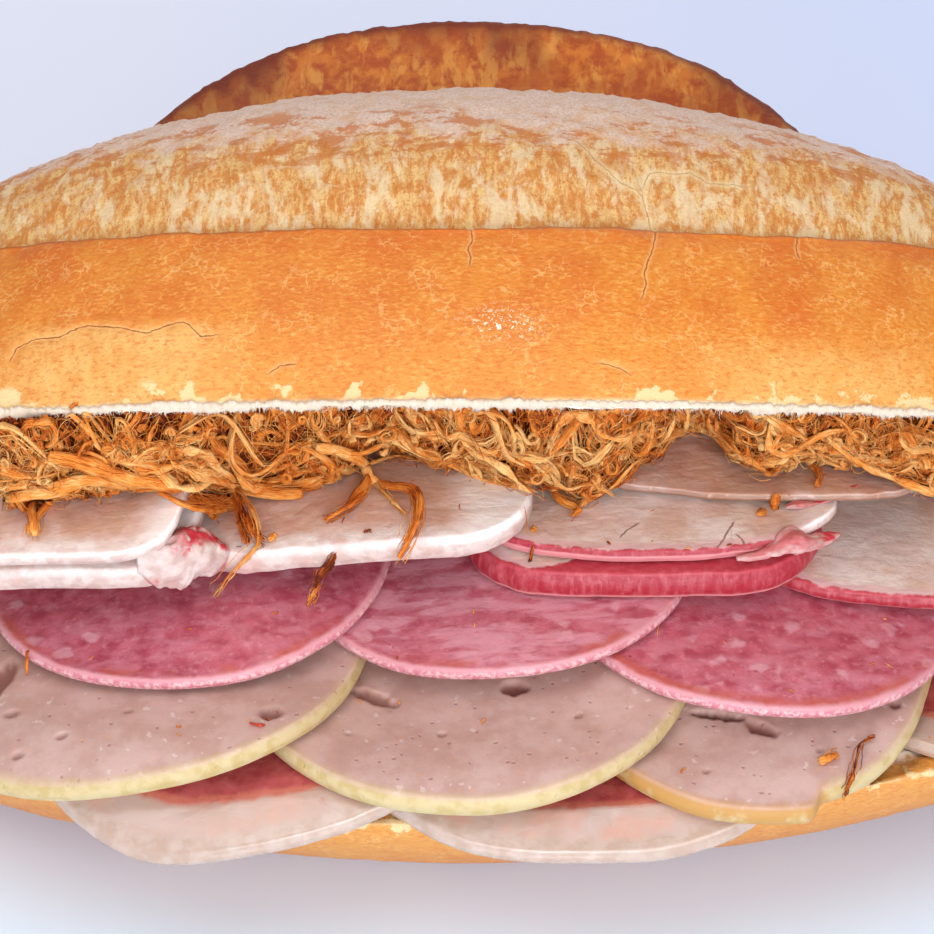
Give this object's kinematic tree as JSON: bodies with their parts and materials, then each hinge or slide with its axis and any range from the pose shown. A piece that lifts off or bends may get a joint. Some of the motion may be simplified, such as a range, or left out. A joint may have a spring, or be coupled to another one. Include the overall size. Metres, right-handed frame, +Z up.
{
  "type": "banh mi sandwich",
  "caption": "Vietnamese baguette sandwich, slit along its front and filled with shingled cold cuts, cold roast pork and pork floss.",
  "frame": {"origin": "on the loaf's flat bottom, at the middle of its length", "axes": "+X along the loaf, +Y towards the uncut back of the loaf, +Z up"},
  "size_m": [0.224, 0.11, 0.1001],
  "materials": {
    "bread": "crisp golden crust, satin on the band along the slit and floury on the bloom, with a pale crumb inside",
    "ham": "moist rose-pink lean with a pale glossy band of fat and skin round it",
    "pork_roll": "fine greyish-pink steamed pork paste with small air holes and a cream-yellow skin",
    "salami": "deep pink with white marbling and a thin pale rim, slightly oily",
    "roast_pork": "pale greyish-pink cold roast pork with a white fat edge",
    "red_roast_pork": "pale beige-pink roast pork with a rim dyed red",
    "pork_floss": "dry, golden to orange-brown shredded fibres in curled strands and clumps"
  },
  "bodies": {
    "root": {"bread": "bread", "ham_left": "ham", "ham_middle": "ham", "ham_right": "ham", "pork_roll_left": "pork_roll", "pork_roll_middle": "pork_roll", "pork_roll_right": "pork_roll", "salami_left": "salami", "salami_middle": "salami", "salami_right": "salami", "roast_left_lower": "roast_pork", "roast_left_upper": "roast_pork", "roast_middle": "roast_pork", "roast_back": "roast_pork", "roast_red_lower": "red_roast_pork", "roast_red_upper": "red_roast_pork", "roast_right": "red_roast_pork", "pork_floss": "pork_floss"}
  },
  "joints": []
}
